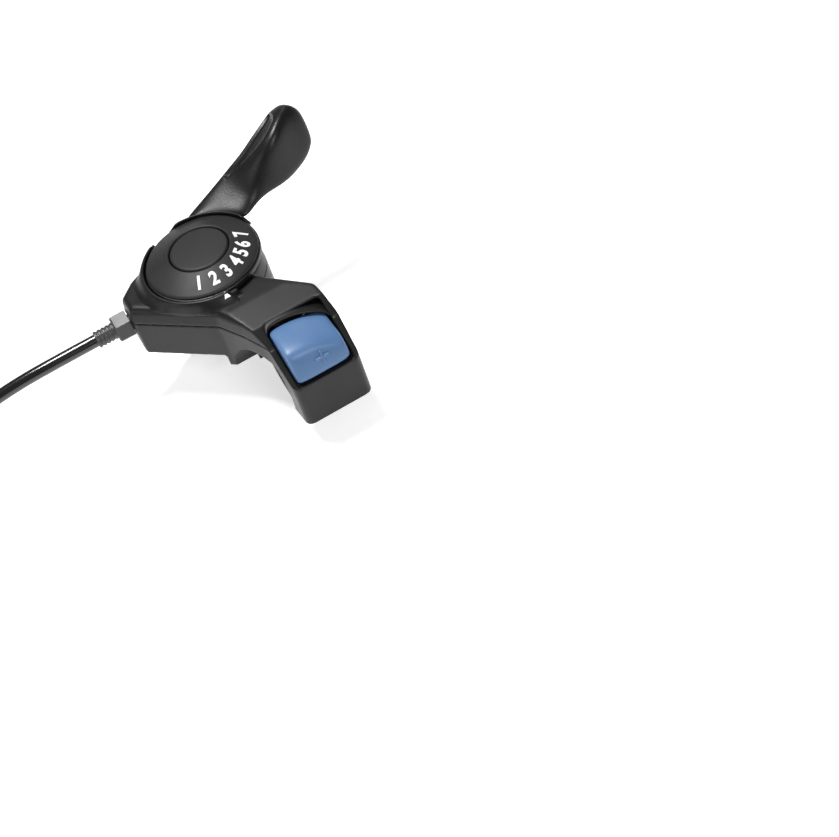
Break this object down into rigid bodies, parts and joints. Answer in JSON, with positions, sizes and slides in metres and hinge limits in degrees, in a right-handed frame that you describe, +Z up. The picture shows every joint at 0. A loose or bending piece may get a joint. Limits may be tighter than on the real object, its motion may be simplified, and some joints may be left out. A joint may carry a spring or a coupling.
{
  "type": "thumb shifter",
  "caption": "Clamp-on bicycle thumb shifter: swinging lever with a numbered dial, blue release button, barrel adjuster and a gear cable coiled in a tie.",
  "frame": {"origin": "centre of the handlebar clamp's bore", "axes": "+X along the handlebar towards the grip, +Y forward away from the rider, +Z up along the dial's axis"},
  "size_m": [0.1961, 0.1054, 0.0553],
  "materials": {
    "housing_black": "satin moulded",
    "lever_black": "finely textured satin",
    "dial_grey": "soft sheen, white printed digits",
    "button_blue": "semi-gloss",
    "band_steel": "black painted steel band",
    "fastener_steel": "zinc plated",
    "black_steel": "black oxide",
    "spring_steel": "spring wire",
    "bush_bronze": "sintered bronze",
    "insert_brass": "turned",
    "drum_nylon": "natural nylon",
    "washer_plastic": "acetal",
    "adjuster_grey": "satin moulded",
    "cable_jacket": "glossy sheath",
    "wire_steel": "stranded wire",
    "ferrule_metal": "plated",
    "tie_plastic": "moulded nylon"
  },
  "bodies": {
    "housing": {"lower_housing": "housing_black", "upper_cover": "housing_black", "clamp_band": "band_steel", "clamp_bolt": "black_steel", "clamp_nut": "fastener_steel", "pivot_bolt": "fastener_steel", "axle_nut": "fastener_steel", "axle_bushing": "bush_bronze", "thrust_washer": "washer_plastic", "wave_washer": "spring_steel", "cover_screws": "black_steel", "pawl_pin": "fastener_steel", "adjuster_insert": "insert_brass", "wire_guide": "drum_nylon", "inner_wire": "wire_steel", "cable_housing": "cable_jacket", "cable_coil": "cable_jacket", "coil_ties": "tie_plastic", "cable_end": "cable_jacket", "end_ferrule": "ferrule_metal", "button_spring": "spring_steel", "pawl_spring": "spring_steel"},
    "lever": {"thumb_lever": "lever_black", "indicator_dial": "dial_grey", "dial_cap": "dial_grey", "cable_drum": "drum_nylon", "ratchet_wheel": "fastener_steel", "wire_head": "ferrule_metal", "wound_wire": "wire_steel"},
    "button": {"release_button": "button_blue", "release_slider": "fastener_steel"},
    "pawl": {"hold_pawl": "fastener_steel"},
    "adjuster": {"adjuster_barrel": "adjuster_grey"},
    "wire": {"wire_tail": "wire_steel", "wire_crimp": "ferrule_metal"}
  },
  "joints": [
    {"name": "lever_swing", "type": "hinge", "parent": "housing", "child": "lever", "pos_m": [-0.0094, 0.0324, 0.024], "axis": [0, 0, 1], "range_deg": [-90, 18], "deforming": ["wound_wire"]},
    {"name": "button_press", "type": "slide", "parent": "housing", "child": "button", "axis": [0, 1, 0], "range_m": [0, 0.0025], "stiffness_N_per_m": 800, "springref_m": -0.0005, "deforming": ["button_spring"]},
    {"name": "pawl_swing", "type": "hinge", "parent": "housing", "child": "pawl", "pos_m": [-0.0075, 0.0136, 0.0164], "axis": [0, 0, 1], "range_deg": [0, 9.4], "deforming": ["pawl_spring"]},
    {"name": "adjuster_turn", "type": "hinge", "parent": "housing", "child": "adjuster", "pos_m": [-0.039, 0.0357, 0.0127], "axis": [-1, 0, 0], "continuous": true},
    {"name": "wire_pull", "type": "slide", "parent": "housing", "child": "wire", "axis": [0, 1, 0], "range_m": [-0.015, 0.003]}
  ],
  "couplings": [
    {"joint": "pawl_swing", "follows": "button_press", "rad_per_m": 62.832},
    {"joint": "wire_pull", "follows": "lever_swing", "m_per_rad": 0.00925}
  ]
}
